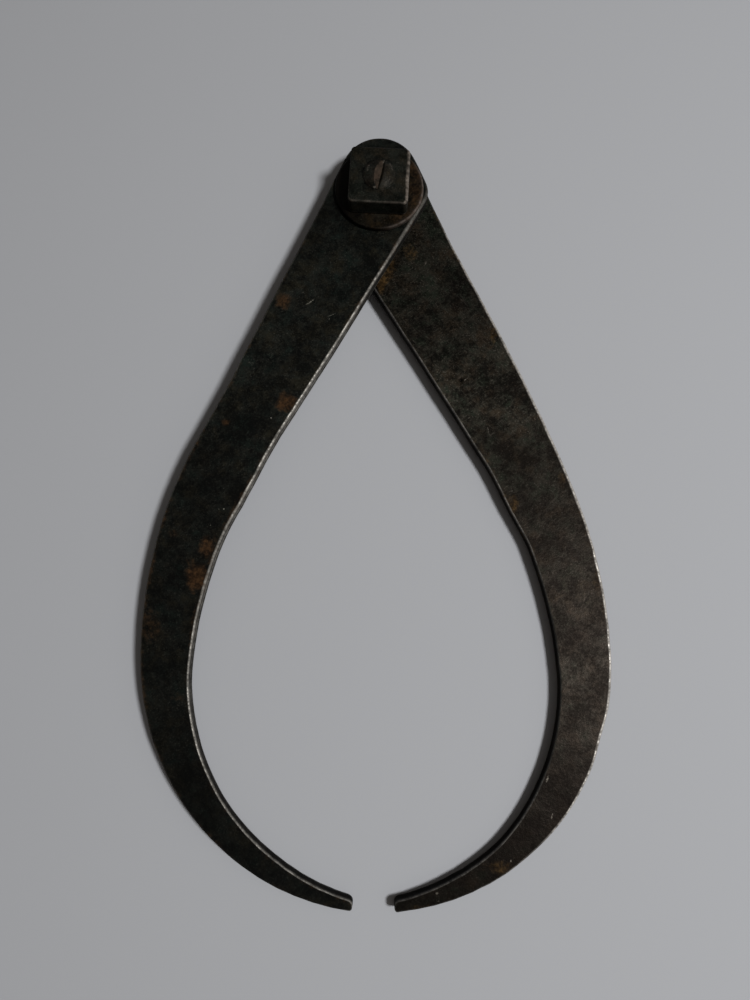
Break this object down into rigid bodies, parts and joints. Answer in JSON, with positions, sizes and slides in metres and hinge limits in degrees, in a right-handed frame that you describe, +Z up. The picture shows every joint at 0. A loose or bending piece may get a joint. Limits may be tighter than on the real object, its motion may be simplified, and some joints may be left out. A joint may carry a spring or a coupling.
{
  "type": "outside caliper",
  "caption": "Firm-joint outside caliper: two bowed, tapering flat steel legs lapped on a bolt with a round washer and a square nut, for taking outside diameters.",
  "frame": {"origin": "on the bolt's axis, at the underside of the bolt head, in the plane that the tool lies on", "axes": "+Z up along the bolt from its head to its nut, -Y from the pivot towards the points of the legs, upper leg on the -X side"},
  "size_m": [0.1293, 0.2212, 0.0221],
  "materials": {
    "lower_leg": "brown aged steel, hammered and filed, worn bright along its outer edge",
    "upper_leg": "black forge scale with small rust patches, worn bright along its inner edge",
    "pivot_bolt": "worn steel, chisel groove across the domed end",
    "washer": "brown rusted steel",
    "square_nut": "dark steel with bright worn edges"
  },
  "bodies": {
    "lower_leg": {"lower_leg": "lower_leg", "pivot_bolt": "pivot_bolt"},
    "upper_leg": {"upper_leg": "upper_leg"},
    "washer": {"washer": "washer"},
    "nut": {"square_nut": "square_nut"}
  },
  "joints": [
    {"name": "leg_pivot", "type": "hinge", "parent": "lower_leg", "child": "upper_leg", "pos_m": [0, 0, 0.0098], "axis": [0, 0, -1], "range_deg": [-3, 176]},
    {"name": "washer_turn", "type": "hinge", "parent": "lower_leg", "child": "washer", "pos_m": [0, 0, 0.0133], "axis": [0, 0, 1], "continuous": true},
    {"name": "nut_turn", "type": "hinge", "parent": "lower_leg", "child": "nut", "pos_m": [0, 0, 0.0175], "axis": [0, 0, 1], "range_deg": [0, 60]}
  ]
}
